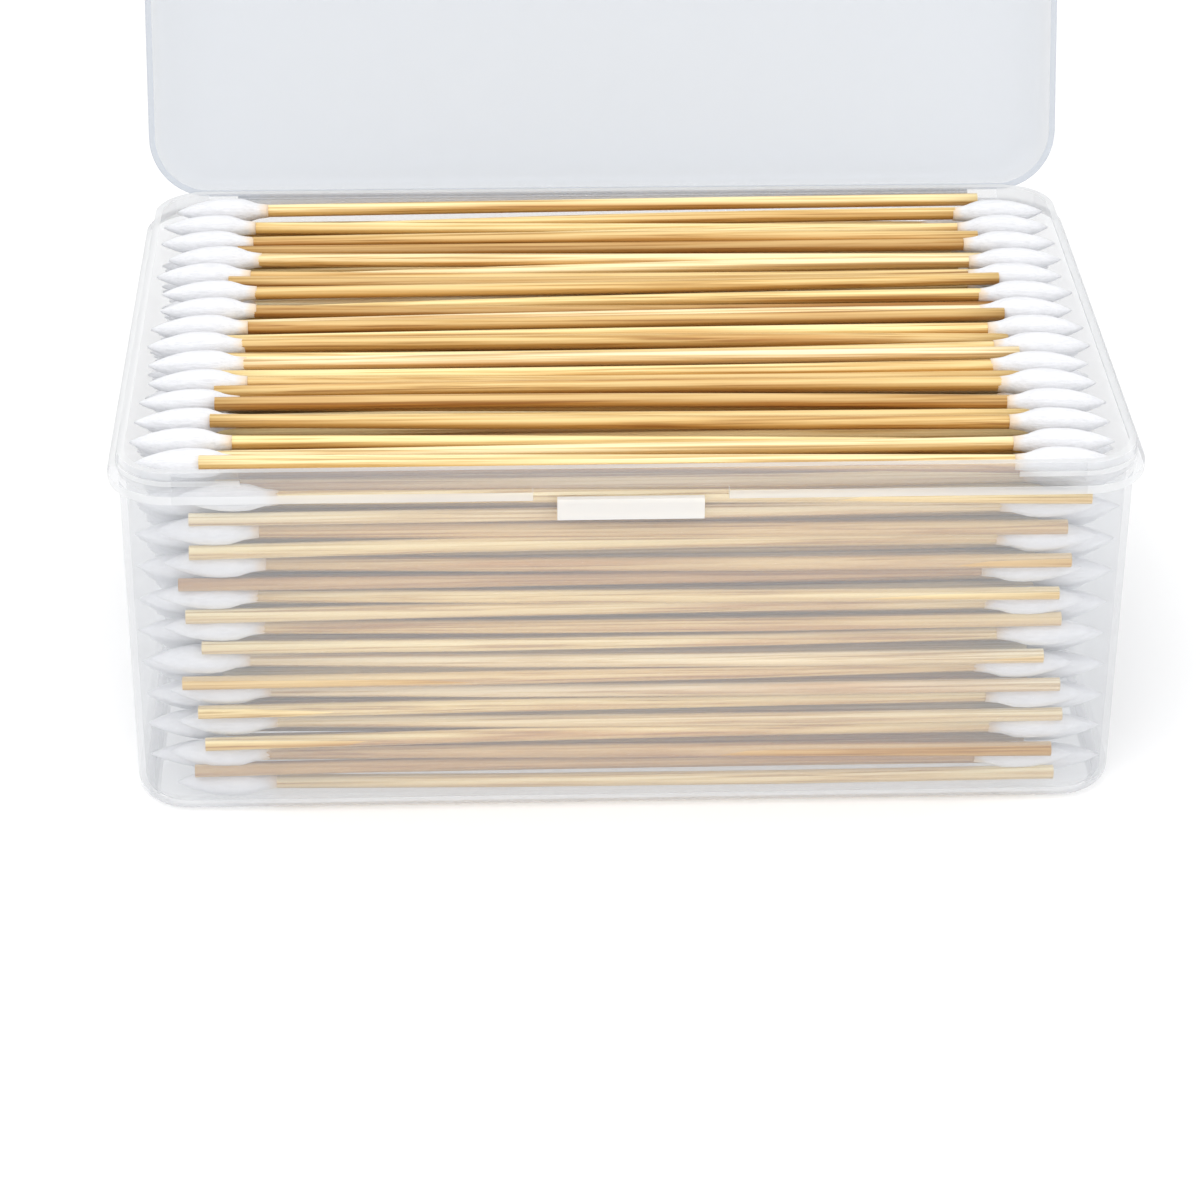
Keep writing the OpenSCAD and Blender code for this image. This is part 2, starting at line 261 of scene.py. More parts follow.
def cotton(settings):
    """Wound cotton: soft matt white with faint fibres."""
    material, tree, shader = shader_tree("Wound cotton")
    place = add_node(tree, "ShaderNodeTexCoord").outputs["Object"]
    fibre = stretched_noise(tree, place, 2600.0, (0.18, 1.0, 1.0), detail=3.0, roughness=0.65)
    tuft = stretched_noise(tree, place, 700.0, (0.5, 1.0, 1.0), detail=2.0)
    white = colour_ramp(tree, fibre.outputs["Fac"], [
        (0.25, tuple(0.88 * c for c in settings.cotton)), (0.6, tuple(settings.cotton)),
    ])
    along = add_node(tree, "ShaderNodeAttribute", attribute_name="along").outputs["Fac"]
    ragged = math_node(tree, "MULTIPLY_ADD", tuft.outputs["Fac"], 0.16, third=along)
    thin = add_node(
        tree, "ShaderNodeMapRange",
        {"Value": ragged, "From Min": 0.94, "From Max": 1.1, "To Max": 0.85},
        interpolation_type="SMOOTHSTEP",
    )
    wound = mix_colour(tree, thin.outputs[0], white, settings.neck)
    tree.links.new(wound, shader.inputs["Base Color"])
    shader.inputs["Roughness"].default_value = 0.95
    shader.inputs["Specular IOR Level"].default_value = 0.1
    shader.inputs["Sheen Weight"].default_value = 0.3
    shader.inputs["Sheen Roughness"].default_value = 0.5
    height = math_node(tree, "ADD", fibre.outputs["Fac"], tuft.outputs["Fac"])
    bump = add_node(
        tree, "ShaderNodeBump", {"Height": height, "Strength": 0.5, "Distance": 0.25 * MM},
    )
    tree.links.new(bump.outputs[0], shader.inputs["Normal"])
    return material


def plain(name, colour, roughness):
    """The floor's even finish."""
    material, tree, shader = shader_tree(name)
    shader.inputs["Base Color"].default_value = (*colour, 1.0)
    shader.inputs["Roughness"].default_value = roughness
    shader.inputs["Specular IOR Level"].default_value = 0.0
    return material


# Reading the frame

def solid_parts(node):
    """The vertices of each separate solid of a CAD node, as one array per solid."""
    work = bmesh.new()
    work.from_mesh(frame["nodes"][node].data)
    bmesh.ops.remove_doubles(work, verts=work.verts, dist=1e-7)
    seen, parts = set(), []
    for first in work.verts:
        if first.index in seen:
            continue
        stack, found = [first], []
        seen.add(first.index)
        while stack:
            vert = stack.pop()
            found.append(vert.co.to_tuple())
            for edge in vert.link_edges:
                other = edge.other_vert(vert)
                if other.index not in seen:
                    seen.add(other.index)
                    stack.append(other)
        parts.append(np.array(found))
    work.free()
    return parts


def end_centres(points):
    """The middles of the two ends of a solid that lies along X, left one first."""
    x = points[:, 0]
    near = 0.3 * MM
    return points[x < x.min() + near].mean(0), points[x > x.max() - near].mean(0)


def swab_places(stick_node, head_node):
    """For each swab of a layer: where its tip is, and which way the stick runs from there."""
    heads = [np.array(end_centres(part)) for part in solid_parts(head_node)]
    middles = np.array([h.mean(0) for h in heads])
    places = []
    for part in solid_parts(stick_node):
        ends = end_centres(part)
        reach = [np.linalg.norm(middles - end, axis=1) for end in ends]
        side = 0 if reach[0].min() < reach[1].min() else 1
        head = heads[int(reach[side].argmin())]
        tip, bare = head[side], ends[1 - side]
        run = bare - tip
        places.append((tip, run / np.linalg.norm(run), np.linalg.norm(run)))
    return places


# Swabs

def points_with_axes(name, places):
    """A mesh of loose points, one per swab, that carries each swab's direction."""
    mesh = bpy.data.meshes.new(name)
    mesh.from_pydata([tuple(tip) for tip, _, _ in places], [], [])
    axis = mesh.attributes.new("axis", "FLOAT_VECTOR", "POINT")
    axis.data.foreach_set("vector", np.array([a for _, a, _ in places], np.float32).ravel())
    return bpy.data.objects.new(name, mesh)


def geometry_group(name, inputs):
    """A Geometry Nodes tree with a geometry in and out and the given (name, type, value) inputs."""
    tree = bpy.data.node_groups.new(name, "GeometryNodeTree")
    tree.is_modifier = True
    tree.interface.new_socket("Geometry", in_out="INPUT", socket_type="NodeSocketGeometry")
    tree.interface.new_socket("Geometry", in_out="OUTPUT", socket_type="NodeSocketGeometry")
    for label, kind, value in inputs:
        socket = tree.interface.new_socket(label, in_out="INPUT", socket_type=kind)
        if value is not None:
            socket.default_value = value
    return tree, tree.nodes.new("NodeGroupInput"), tree.nodes.new("NodeGroupOutput")


def random_per_swab(tree, given, shift, limits=(), data_type="FLOAT"):
    """A random value for each swab; `shift` sets it apart from the other random values."""
    seed = math_node(tree, "ADD", given.outputs["Seed"], shift)
    node = add_node(
        tree, "FunctionNodeRandomValue", {**dict(limits), "Seed": seed}, data_type=data_type,
    )
    return node.outputs[0 if data_type == "FLOAT_VECTOR" else 1]


def instance_swabs(tree, given, shape, output):
    """Sets the shape on every point, nearly along its axis, and makes it real.

    Each swab has its own turn, shade and girth. A stick and its head get the same ones, because
    both trees use the same seed on the same points.
    """
    axis = add_node(
        tree, "GeometryNodeInputNamedAttribute", {"Name": "axis"}, data_type="FLOAT_VECTOR",
    )
    stray = random_per_swab(
        tree, given, STRAY_SEED, {"Min": (0, -1, -0.5), "Max": (0, 1, 0.5)}, "FLOAT_VECTOR",
    )
    aside = add_node(
        tree, "ShaderNodeVectorMath", {"Vector": stray, "Scale": given.outputs["Skew"]},
        operation="SCALE",
    )
    skewed = add_node(
        tree, "ShaderNodeVectorMath", {0: axis.outputs[0], 1: aside.outputs[0]}, operation="ADD",
    )
    turn = add_node(
        tree, "FunctionNodeAlignRotationToVector", {"Vector": skewed.outputs[0]}, axis="X",
    )
    spin = random_per_swab(tree, given, SPIN_SEED, {"Max": math.tau})
    roll = add_node(tree, "FunctionNodeAxisAngleToRotation", {"Axis": (1, 0, 0), "Angle": spin})
    turned = add_node(
        tree, "FunctionNodeRotateRotation",
        {"Rotation": turn.outputs[0], "Rotate By": roll.outputs[0]}, rotation_space="LOCAL",
    )
    shade = random_per_swab(tree, given, SHADE_SEED)
    girth = random_per_swab(tree, given, GIRTH_SEED)
    slack = math_node(tree, "MULTIPLY", girth, given.outputs["Slimmer"])
    slim = math_node(tree, "SUBTRACT", 1.0, slack)
    size = add_node(tree, "ShaderNodeCombineXYZ", {"X": 1.0, "Y": slim, "Z": slim})
    placed = add_node(
        tree, "GeometryNodeInstanceOnPoints",
        {"Points": given.outputs["Geometry"], "Instance": shape, "Rotation": turned.outputs[0],
         "Scale": size.outputs[0]},
    )
    marked = add_node(
        tree, "GeometryNodeStoreNamedAttribute",
        {"Geometry": placed.outputs[0], "Name": "swab_shade", "Value": shade},
        domain="INSTANCE", data_type="FLOAT",
    )
    real = add_node(tree, "GeometryNodeRealizeInstances", {"Geometry": marked.outputs[0]})
    smooth = add_node(tree, "GeometryNodeSetShadeSmooth", {"Geometry": real.outputs[0]})
    dressed = add_node(
        tree, "GeometryNodeSetMaterial",
        {"Geometry": smooth.outputs[0], "Material": given.outputs["Material"]},
    )
    tree.links.new(dressed.outputs[0], output.inputs["Geometry"])


def stick_tree():
    """The tree that lays one bamboo stick, with a slight bow, along each axis."""
    tree, given, output = geometry_group("Bamboo sticks", [
        ("Diameter", "NodeSocketFloat", 2.2 * MM),
        ("Slimmer", "NodeSocketFloat", 0.12),
        ("Skew", "NodeSocketFloat", 0.004),
        ("Start", "NodeSocketFloat", 8.0 * MM),
        ("Length", "NodeSocketFloat", 140.0 * MM),
        ("Bow", "NodeSocketFloat", 0.25 * MM),
        ("Sides", "NodeSocketInt", 8),
        ("Segments", "NodeSocketInt", 4),
        ("Seed", "NodeSocketInt", 1),
        ("Material", "NodeSocketMaterial", None),
    ])
    radius = math_node(tree, "MULTIPLY", given.outputs["Diameter"], 0.5)
    rod = add_node(tree, "GeometryNodeMeshCylinder", {
        "Vertices": given.outputs["Sides"], "Side Segments": given.outputs["Segments"],
        "Radius": radius, "Depth": 1.0,
    }, fill_type="TRIANGLE_FAN")
    place = add_node(tree, "GeometryNodeInputPosition")
    parts = add_node(tree, "ShaderNodeSeparateXYZ", {"Vector": place.outputs[0]})
    share = math_node(tree, "ADD", parts.outputs["Z"], 0.5)
    x = math_node(tree, "MULTIPLY_ADD", share, given.outputs["Length"], given.outputs["Start"])
    square = math_node(tree, "MULTIPLY", share, share)
    rise = math_node(tree, "SUBTRACT", share, square)
    arch = math_node(tree, "MULTIPLY", rise, given.outputs["Bow"])
    z = math_node(tree, "MULTIPLY_ADD", arch, 4.0, parts.outputs["X"])
    spot = add_node(tree, "ShaderNodeCombineXYZ", {"X": x, "Y": parts.outputs["Y"], "Z": z})
    bowed = add_node(
        tree, "GeometryNodeSetPosition", {"Geometry": rod.outputs["Mesh"], "Position": spot.outputs[0]},
    )
    outward = add_node(tree, "GeometryNodeFlipFaces", {"Mesh": bowed.outputs[0]})
    instance_swabs(tree, given, outward.outputs[0], output)
    return tree


def head_tree():
    """The tree that winds one spear of cotton round the start of each axis."""
    tree, given, output = geometry_group("Cotton heads", [
        ("Diameter", "NodeSocketFloat", 4.6 * MM),
        ("Slimmer", "NodeSocketFloat", 0.1),
        ("Skew", "NodeSocketFloat", 0.004),
        ("Length", "NodeSocketFloat", 16.8 * MM),
        ("Sides", "NodeSocketInt", 9),
        ("Rings", "NodeSocketInt", 7),
        ("Unevenness", "NodeSocketFloat", 0.12),
        ("Seed", "NodeSocketInt", 1),
        ("Material", "NodeSocketMaterial", None),
    ])
    tube = add_node(tree, "GeometryNodeMeshCylinder", {
        "Vertices": given.outputs["Sides"], "Side Segments": given.outputs["Rings"],
        "Radius": 1.0, "Depth": 1.0,
    }, fill_type="TRIANGLE_FAN")
    place = add_node(tree, "GeometryNodeInputPosition")
    parts = add_node(tree, "ShaderNodeSeparateXYZ", {"Vector": place.outputs[0]})
    share = math_node(tree, "ADD", parts.outputs["Z"], 0.5)
    told = add_node(
        tree, "GeometryNodeStoreNamedAttribute",
        {"Geometry": tube.outputs["Mesh"], "Name": "along", "Value": share},
        domain="POINT", data_type="FLOAT",
    )
    outline = add_node(tree, "ShaderNodeFloatCurve", {"Value": share})
    points = outline.mapping.curves[0].points
    for spot, (x, y) in zip(points, (HEAD_OUTLINE[0], HEAD_OUTLINE[-1])):
        spot.location = (x, y)
    for x, y in HEAD_OUTLINE[1:-1]:
        points.new(x, y)
    outline.mapping.update()
    lumps = add_node(
        tree, "ShaderNodeTexNoise", {"Vector": place.outputs[0], "Scale": 2.6, "Detail": 2.0},
    )
    swell = math_node(tree, "SUBTRACT", lumps.outputs["Fac"], 0.5)
    uneven = math_node(tree, "MULTIPLY_ADD", swell, given.outputs["Unevenness"], 1.0)
    radius = math_node(tree, "MULTIPLY", given.outputs["Diameter"], 0.5)
    smooth_girth = math_node(tree, "MULTIPLY", outline.outputs[0], radius)
    girth = math_node(tree, "MULTIPLY", smooth_girth, uneven)
    x = math_node(tree, "MULTIPLY", share, given.outputs["Length"])
    y = math_node(tree, "MULTIPLY", parts.outputs["X"], girth)
    z = math_node(tree, "MULTIPLY", parts.outputs["Y"], girth)
    spot = add_node(tree, "ShaderNodeCombineXYZ", {"X": x, "Y": y, "Z": z})
    spear = add_node(
        tree, "GeometryNodeSetPosition", {"Geometry": told.outputs[0], "Position": spot.outputs[0]},
    )
    instance_swabs(tree, given, spear.outputs[0], output)
    return tree


def grow(name, tree, places, values, body):
    """Runs a tree on the swab points and returns its plain mesh as a piece."""
    base = points_with_axes(name + " points", places)
    bpy.context.scene.collection.objects.link(base)
    modifier = base.modifiers.new("Grow", "NODES")
    modifier.node_group = tree
    for item in tree.interface.items_tree:
        if item.item_type == "SOCKET" and item.in_out == "INPUT" and item.name in values:
            modifier[item.identifier] = values[item.name]
    bpy.context.view_layer.update()
    seen = base.evaluated_get(bpy.context.evaluated_depsgraph_get())
    mesh = bpy.data.meshes.new_from_object(seen)
    mesh.name = name
    piece = bpy.data.objects.new(name, mesh)
    bpy.context.scene.collection.objects.link(piece)
    bpy.data.objects.remove(base)
    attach(piece, body)
    return piece


def make_swabs(settings, label, stick_nodes, head_nodes, detail, painted_lightening, skew):
    """Makes the sticks and heads of the given layers, each kind as one piece."""
    places = []
    for stick_node, head_node in zip(stick_nodes, head_nodes):
        places += swab_places(stick_node, head_node)
    length = float(np.mean([run for _, _, run in places]))
    start = settings.stick_start
    sticks = grow(label + "_sticks", stick_tree(), places, {
        "Diameter": settings.stick_diameter, "Start": start, "Length": length - start,
        # The painted lightening also lessens the bow of the packed sticks
        "Bow": settings.bow * (1.0 - painted_lightening), "Skew": skew,
        "Sides": detail.stick_sides, "Segments": detail.stick_segments, "Seed": settings.seed,
        "Material": bamboo(label.capitalize() + " bamboo", settings, painted_lightening),
    }, "tub")
    heads = grow(label + "_heads", head_tree(), places, {
        "Diameter": settings.head_diameter, "Length": settings.head_length,
        "Unevenness": settings.unevenness, "Skew": skew,
        "Sides": detail.head_sides, "Rings": detail.head_rings, "Seed": settings.seed,
        "Material": cotton(settings),
    }, "tub")
    for piece, nodes, slot in ((sticks, stick_nodes, "bamboo"), (heads, head_nodes, "cotton")):
        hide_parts(*nodes)


# Mouldings

def beyond_wall(place):
    """How far outside the tub's rounded wall a place lies."""
    across = Vector((
        max(abs(place.x) - TUB_WALL[0] + TUB_CORNER, 0.0),
        max(abs(place.y) - TUB_WALL[1] + TUB_CORNER, 0.0),
    ))
    return across.length - TUB_CORNER


def tub_thickness(centre, normal):
    """How much denser the tub looks at a face: at the rim, the flange, the catch and the base."""
    stands_out = beyond_wall(centre) > 0.2 * MM
    at_end = abs(centre.x) > TUB_WALL[0] - TUB_CORNER
    if centre.z > RIM_TOP - EDGE_BAND:
        return LIP_DENSITY
    if centre.z > FLANGE_UNDER - 0.1 * MM and stands_out:
        return END_FLANGE_DENSITY if at_end else FLANGE_DENSITY
    if centre.z > FLANGE_TOP:
        return END_RIM_DENSITY if at_end else RIM_DENSITY
    if centre.z > FLANGE_UNDER - CATCH_REACH and stands_out:
        return CATCH_DENSITY
    if centre.z < BASE_ROUND and abs(normal.z) < LEVEL:
        return BASE_DENSITY
    return 0.0


def lid_thickness(centre, normal):
    """How much denser the lid looks at a face, in its closed place: under its rim."""
    faces_down = normal.z < -0.5
    return LID_RIM_DENSITY if faces_down and centre.z < FLANGE_TOP + LID_RIM_REACH else 0.0


def smooth_copy(name, node, body, closing, thickness):
    """A copy of a CAD moulding with welded points, rounded edges, smooth shading and its own density.

    `closing` turns the moulding to where `thickness` reads it.
    """
    mesh = frame["nodes"][node].data.copy()
    mesh.name = name
    work = bmesh.new()
    work.from_mesh(mesh)
    bmesh.ops.remove_doubles(work, verts=work.verts, dist=2e-6)
    bmesh.ops.dissolve_limit(
        work, angle_limit=math.radians(0.5), verts=work.verts, edges=work.edges
    )
    crisp = [
        edge for edge in work.edges
        if edge.is_convex and edge.calc_face_angle(0.0) > SHARP and edge.calc_length() > EDGE_ROUND
    ]
    bmesh.ops.bevel(
        work, geom=crisp, offset=EDGE_ROUND, segments=2, profile=0.5, affect="EDGES",
        clamp_overlap=True,
    )
    work.normal_update()
    layer = work.faces.layers.float.new("thickness")
    for face in work.faces:
        face.smooth = True
        face[layer] = thickness(closing @ face.calc_center_median(), closing.to_3x3() @ face.normal)
    work.to_mesh(mesh)
    work.free()
    if mesh.has_custom_normals:
        mesh.attributes.remove(mesh.attributes["custom_normal"])
    mesh.materials.clear()
    piece = bpy.data.objects.new(name, mesh)
    bpy.context.scene.collection.objects.link(piece)
    mesh.set_sharp_from_angle(angle=SHARP)
    flat = piece.modifiers.new("Flat faces stay flat", "WEIGHTED_NORMAL")
    flat.mode, flat.weight, flat.keep_sharp = "FACE_AREA", 50, True
    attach(piece, body)
    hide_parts(node)
    return piece


def film_web():
    """The film that joins the tub's leaf to the lid's, bent round the fold of the hinge."""
    hinge = Vector(LID_HINGE["pos_m"])
    half = 0.5 * FILM_GAP
    turn = OPEN_ANGLE
    radius = half / math.tan(turn / 2)
    centre = Vector((0.0, hinge.y + radius, hinge.z - half))
    ring, steps, lengths = [], 8, 24
    for side in (-1, 1):
        arc = []
        for step in range(steps + 1):
            angle = turn * step / steps
            reach = radius - side * 0.5 * WEB_SHARE * FILM
            arc.append((centre.y - reach * math.cos(angle), centre.z + reach * math.sin(angle)))
        ring += arc if side == -1 else arc[::-1]
    mesh = bpy.data.meshes.new("film_hinge")
    work = bmesh.new()
    loops = []
    for k in range(lengths + 1):
        x = HINGE_SPAN * (k / lengths - 0.5)
        loops.append([work.verts.new((x, y, z)) for y, z in ring])
    for near, far in zip(loops, loops[1:]):
        for a in range(len(ring)):
            b = (a + 1) % len(ring)
            work.faces.new((near[a], near[b], far[b], far[a]))
    work.faces.new(loops[0][::-1])
    work.faces.new(loops[-1])
    bmesh.ops.recalc_face_normals(work, faces=work.faces)
    layer = work.faces.layers.float.new("thickness")
    for face in work.faces:
        face.smooth = True
        face[layer] = FILM_DENSITY
    work.to_mesh(mesh)
    work.free()
    piece = bpy.data.objects.new("film_hinge", mesh)
    bpy.context.scene.collection.objects.link(piece)
    mesh.set_sharp_from_angle(angle=SHARP)
    start = Vector((0.0, hinge.y, hinge.z - half))
    end = Vector((0.0, hinge.y + half * math.sin(turn), hinge.z + half * math.cos(turn)))
    return piece, start, end


# Settings

class MouldingSettings(bpy.types.PropertyGroup):
    """Finish of the frosted mouldings."""
    tub_tint: bpy.props.FloatVectorProperty(
        name="Tub tint", description="Colour of the plastic round the swabs", subtype="COLOR", size=3,
        default=(0.71, 0.73, 0.765), min=0, max=1,
    )
    tub_milk: bpy.props.FloatVectorProperty(
        name="Tub milk", description="Colour that the tub's plastic nears where it is thick",
        subtype="COLOR", size=3, default=(0.84, 0.83, 0.8), min=0, max=1,
    )
    lid_tint: bpy.props.FloatVectorProperty(
        name="Lid tint", description="Colour of the lid's plastic", subtype="COLOR", size=3,
        default=(0.32, 0.37, 0.45), min=0, max=1,
    )
    lid_milk: bpy.props.FloatVectorProperty(
        name="Lid milk", description="Colour that the lid's plastic nears where it is thick",
        subtype="COLOR", size=3, default=(0.5, 0.54, 0.6), min=0, max=1,
    )
    haze: bpy.props.FloatProperty(
        name="Haze", description="How much each face of the tub's wall hides", default=0.2,
        min=0.05, max=1,
    )
    lid_haze: bpy.props.FloatProperty(
        name="Lid haze", description="How much each face of the lid hides", default=0.28,
        min=0.05, max=1,
    )
    clearness: bpy.props.FloatProperty(
        name="Clearness", description="How much of the haze still lets light through, blurred",
        default=0.2, min=0, max=1,
    )
    roughness: bpy.props.FloatProperty(
        name="Roughness", description="Roughness of the moulded skin", default=0.34, min=0.1, max=0.9,
    )


class SwabSettings(bpy.types.PropertyGroup):
    """Sizes and colours of the swabs."""
    stick_diameter: bpy.props.FloatProperty(
        name="Stick diameter", description="Thickness of a bamboo stick", unit="LENGTH",
        default=2.5 * MM, min=1 * MM, max=4 * MM,
    )
    stick_start: bpy.props.FloatProperty(
        name="Stick start", description="How far behind the tip the stick ends in the cotton",
        unit="LENGTH", default=9.0 * MM, min=2 * MM, max=14 * MM,
    )
    head_diameter: bpy.props.FloatProperty(
        name="Head diameter", description="Greatest thickness of a cotton head", unit="LENGTH",
        default=5.2 * MM, min=3 * MM, max=6 * MM,
    )
    head_length: bpy.props.FloatProperty(
        name="Head length", description="Length of the cotton with its neck", unit="LENGTH",
        default=16.8 * MM, min=8 * MM, max=25 * MM,
    )
    bow: bpy.props.FloatProperty(
        name="Bow", description="How far the middle of a stick bends out of line", unit="LENGTH",
        default=0.6 * MM, min=0, max=0.8 * MM,
    )
    skew: bpy.props.FloatProperty(
        name="Skew", description="Greatest slope of a loose stick to its row; packed ones have half",
        default=0.013, min=0, max=0.02, precision=4,
    )
    # Painted shade: the brown that a loose stick's sides and underside are multiplied by
    painted_side_shade: bpy.props.FloatVectorProperty(
        name="Flank", description="What a loose stick's shade is multiplied by on its lower side",
        subtype="COLOR", size=3, default=(0.74, 0.56, 0.34), min=0, max=1,
    )
    unevenness: bpy.props.FloatProperty(
        name="Unevenness", description="How lumpy the wound cotton is, as a share of its girth",
        default=0.12, min=0, max=0.4,
    )
    dark: bpy.props.FloatVectorProperty(
        name="Dark bamboo", description="Shade of the brownest sticks", subtype="COLOR", size=3,
        default=(0.57, 0.35, 0.13), min=0, max=1,
    )
    middle: bpy.props.FloatVectorProperty(
        name="Middle bamboo", description="Shade of a tan stick", subtype="COLOR", size=3,
        default=(0.79, 0.57, 0.25), min=0, max=1,
    )
    light: bpy.props.FloatVectorProperty(
        name="Light bamboo", description="Shade of most sticks", subtype="COLOR", size=3,
        default=(0.94, 0.76, 0.38), min=0, max=1,
    )
    pale: bpy.props.FloatVectorProperty(
        name="Pale bamboo", description="Shade of the palest sticks", subtype="COLOR", size=3,
        default=(0.93, 0.79, 0.52), min=0, max=1,
    )
    # Painted light: how far the sticks below the top layer are painted paler, for the little light that
    # reaches them inside the tub
    packed_painted_lightening: bpy.props.FloatProperty(
        name="Packed paleness", description="How much paler the sticks below the top layer are",
        default=0.12, min=0, max=1,
    )
    neck: bpy.props.FloatVectorProperty(
        name="Neck", description="Where the cotton thins and the stick shows through", subtype="COLOR",
        size=3, default=(0.8, 0.62, 0.42), min=0, max=1,
    )
    grain: bpy.props.FloatProperty(
        name="Grain", description="Strength of the grain along a stick", default=0.75, min=0, max=1,
    )
    cotton: bpy.props.FloatVectorProperty(
        name="Cotton", description="Colour of the cotton", subtype="COLOR", size=3,
        default=(0.8, 0.805, 0.83), min=0, max=1,
    )
    seed: bpy.props.IntProperty(
        name="Seed", description="Chooses which stick gets which shade", default=5, min=0,
    )


class StudioSettings(bpy.types.PropertyGroup):
    """The floor, the light and the camera."""
    floor: bpy.props.FloatVectorProperty(
        name="Floor", description="Colour of the floor", subtype="COLOR", size=3,
        default=(0.97, 0.97, 0.97), min=0, max=1,
    )
    sky: bpy.props.FloatProperty(
        name="Surrounding light", description="Strength of the even light all round",
        default=0.96, min=0, max=3,
    )
    softbox: bpy.props.FloatProperty(
        name="Softbox", description="Power of the softbox above, in watts", default=4.9, min=0, max=100,
    )
    eye: bpy.props.FloatVectorProperty(
        name="Camera place", description="Where the camera stands", subtype="TRANSLATION", size=3,
        default=(-0.026059, -0.56521, 0.339347),
    )
    aim: bpy.props.FloatVectorProperty(
        name="Camera aim", description="Turn to the right, downward tilt and roll", subtype="EULER",
        size=3, default=tuple(math.radians(a) for a in (2.380, 30.317, 0.430)),
    )
    lens: bpy.props.FloatProperty(
        name="Lens", description="Focal length in mm on a 36 mm wide sensor", default=108.184,
        min=20, max=400,
    )


def settings_of(name):
    """The settings group of that name in the scene."""
    return getattr(bpy.context.scene, name)


# Operators

class SWABTUB_OT_tub(bpy.types.Operator):
    """Make the frosted tub"""
    bl_idname = "swabtub.tub"
    bl_label = "Tub"

    def execute(self, context):
        settings = settings_of("swabtub_moulding")
        piece = smooth_copy("frosted_tub", "tub", "tub", Matrix.Identity(4), tub_thickness)
        piece.data.materials.append(frosted_plastic(
            "Frosted tub", settings.tub_tint, settings.tub_milk, settings.haze, settings
        ))
        return {"FINISHED"}


class SWABTUB_OT_lid(bpy.types.Operator):
    """Make the frosted lid"""
    bl_idname = "swabtub.lid"
    bl_label = "Lid"

    def execute(self, context):
        settings = settings_of("swabtub_moulding")
        hinge = Matrix.Translation(Vector(LID_HINGE["pos_m"]))
        closing = hinge @ Matrix.Rotation(OPEN_ANGLE, 4, "X") @ hinge.inverted()
        piece = smooth_copy("frosted_lid", "lid", "lid", closing, lid_thickness)
        piece.data.materials.append(frosted_plastic(
            "Frosted lid", settings.lid_tint, settings.lid_milk, settings.lid_haze, settings
        ))
        return {"FINISHED"}


class SWABTUB_OT_hinge(bpy.types.Operator):
    """Make the film between the tub and the lid"""
    bl_idname = "swabtub.hinge"
    bl_label = "Film hinge"

    def execute(self, context):
        settings = settings_of("swabtub_moulding")
        piece, start, end = film_web()
        piece.data.materials.append(frosted_plastic(
            "Hinge film", settings.lid_tint, settings.lid_milk, settings.lid_haze, settings
        ))
        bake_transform(piece)
        return {"FINISHED"}


class SWABTUB_OT_packed_swabs(bpy.types.Operator):
    """Make the swabs that are packed below the top layer"""
    bl_idname = "swabtub.packed_swabs"
    bl_label = "Packed swabs"

    def execute(self, context):
        settings = settings_of("swabtub_swabs")
        # The packed sticks get painted light, the top ones none
        make_swabs(
            settings, "packed", STICK_NODES[:-1], HEAD_NODES[:-1], PACKED_DETAIL,
            settings.packed_painted_lightening, 0.5 * settings.skew,
        )
        return {"FINISHED"}


class SWABTUB_OT_top_swabs(bpy.types.Operator):
    """Make the loose swabs of the top layer"""
    bl_idname = "swabtub.top_swabs"
    bl_label = "Top swabs"

    def execute(self, context):
        settings = settings_of("swabtub_swabs")
        make_swabs(
            settings, "top", STICK_NODES[-1:], HEAD_NODES[-1:], TOP_DETAIL, 0.0, settings.skew
        )
        return {"FINISHED"}


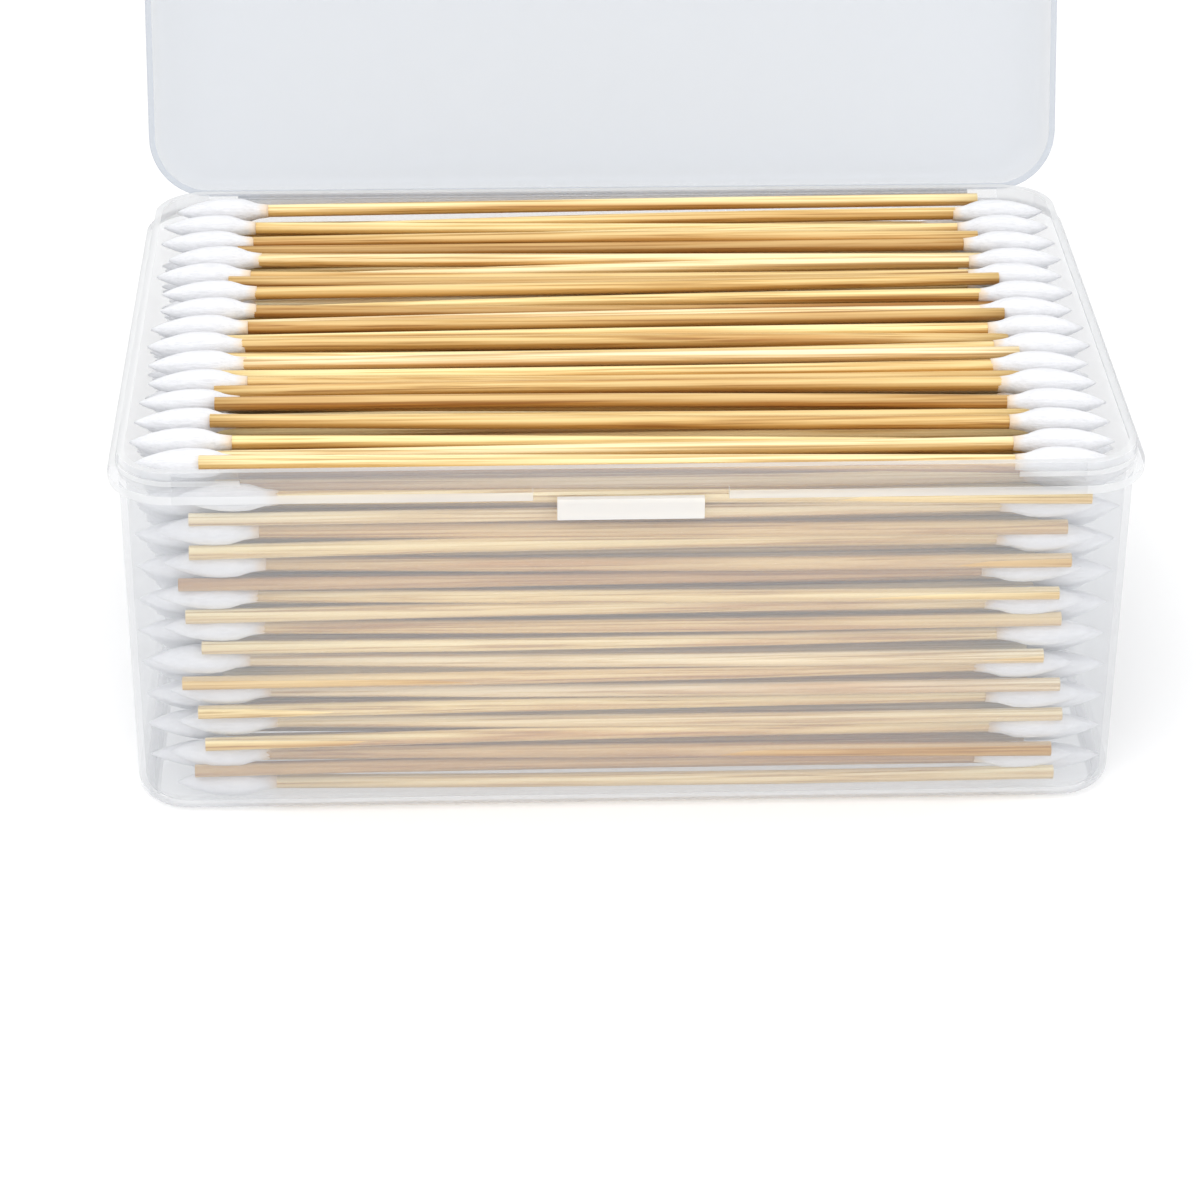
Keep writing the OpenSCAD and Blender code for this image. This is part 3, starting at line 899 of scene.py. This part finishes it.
class SWABTUB_OT_stage(bpy.types.Operator):
    """Lay the floor, set the light and place the camera"""
    bl_idname = "swabtub.stage"
    bl_label = "Stage"

    def execute(self, context):
        studio = settings_of("swabtub_studio")
        scene = context.scene
        floor_mesh = bpy.data.meshes.new("floor")
        side = 4.0
        floor_mesh.from_pydata(
            [(-side, -side, 0), (side, -side, 0), (side, side, 0), (-side, side, 0)], [], [(0, 1, 2, 3)]
        )
        floor = bpy.data.objects.new("floor", floor_mesh)
        floor.data.materials.append(plain("Pale floor", studio.floor, 0.9))
        scene.collection.objects.link(floor)

        world = bpy.data.worlds.new("Studio")
        world.use_nodes = True
        background = world.node_tree.nodes["Background"]
        background.inputs["Color"].default_value = (1.0, 1.0, 1.0, 1.0)
        background.inputs["Strength"].default_value = studio.sky
        scene.world = world

        for name, place, size, share in (
            ("softbox", (-0.35, -0.45, 1.1), 0.9, 1.0),
            ("fill", (0.5, -0.95, 0.5), 0.9, 0.6),
        ):
            light = bpy.data.lights.new(name, "AREA")
            light.shape, light.size, light.energy = "SQUARE", size, studio.softbox * share
            lamp = bpy.data.objects.new(name, light)
            lamp.location = place
            aim = Vector((0, 0, 0.05)) - Vector(place)
            lamp.rotation_euler = aim.to_track_quat("-Z", "Y").to_euler()
            scene.collection.objects.link(lamp)

        camera_data = bpy.data.cameras.new("camera")
        camera_data.sensor_width, camera_data.lens = 36.0, studio.lens
        camera_data.clip_start, camera_data.clip_end = 0.01, 100.0
        camera = bpy.data.objects.new("camera", camera_data)
        yaw, tilt, roll = studio.aim
        forward = Vector((
            math.sin(yaw) * math.cos(tilt), math.cos(yaw) * math.cos(tilt), -math.sin(tilt)
        ))
        right = Vector((math.cos(yaw), -math.sin(yaw), 0.0))
        up = right.cross(forward)
        turned = Matrix((
            right * math.cos(roll) + up * math.sin(roll),
            up * math.cos(roll) - right * math.sin(roll),
            -forward,
        )).transposed()
        camera.matrix_world = Matrix.Translation(Vector(studio.eye)) @ turned.to_4x4()
        scene.collection.objects.link(camera)
        scene.camera = camera
        scene.view_settings.view_transform = "Standard"
        return {"FINISHED"}


class SWABTUB_PT_panel(bpy.types.Panel):
    """Lists the pieces of the swab tub"""
    bl_idname = "SWABTUB_PT_panel"
    bl_label = "Swab tub"
    bl_space_type = "VIEW_3D"
    bl_region_type = "UI"
    bl_category = "Swab tub"

    def draw(self, context):
        layout = self.layout
        for name, operators in (
            ("swabtub_moulding", (SWABTUB_OT_tub, SWABTUB_OT_lid, SWABTUB_OT_hinge)),
            ("swabtub_swabs", (SWABTUB_OT_packed_swabs, SWABTUB_OT_top_swabs)),
            ("swabtub_studio", (SWABTUB_OT_stage,)),
        ):
            box = layout.box()
            group = settings_of(name)
            for key in group.__annotations__:
                box.prop(group, key)
            for operator in operators:
                box.operator(operator.bl_idname)


GROUPS = {
    "swabtub_moulding": MouldingSettings,
    "swabtub_swabs": SwabSettings,
    "swabtub_studio": StudioSettings,
}
OPERATORS = (
    SWABTUB_OT_tub, SWABTUB_OT_lid, SWABTUB_OT_hinge, SWABTUB_OT_packed_swabs, SWABTUB_OT_top_swabs,
    SWABTUB_OT_stage,
)


def register():
    """Registers the settings, the operators and the panel."""
    for kind in (*GROUPS.values(), *OPERATORS, SWABTUB_PT_panel):
        bpy.utils.register_class(kind)
    for name, kind in GROUPS.items():
        setattr(bpy.types.Scene, name, bpy.props.PointerProperty(type=kind))


def unregister():
    """Takes them out again."""
    for name in GROUPS:
        delattr(bpy.types.Scene, name)
    for kind in reversed((*GROUPS.values(), *OPERATORS, SWABTUB_PT_panel)):
        bpy.utils.unregister_class(kind)


def main():
    """Makes every piece."""
    register()
    bpy.ops.swabtub.tub()
    bpy.ops.swabtub.lid()
    bpy.ops.swabtub.hinge()
    bpy.ops.swabtub.packed_swabs()
    bpy.ops.swabtub.top_swabs()
    bpy.ops.swabtub.stage()


if __name__ == "__main__":
    main()
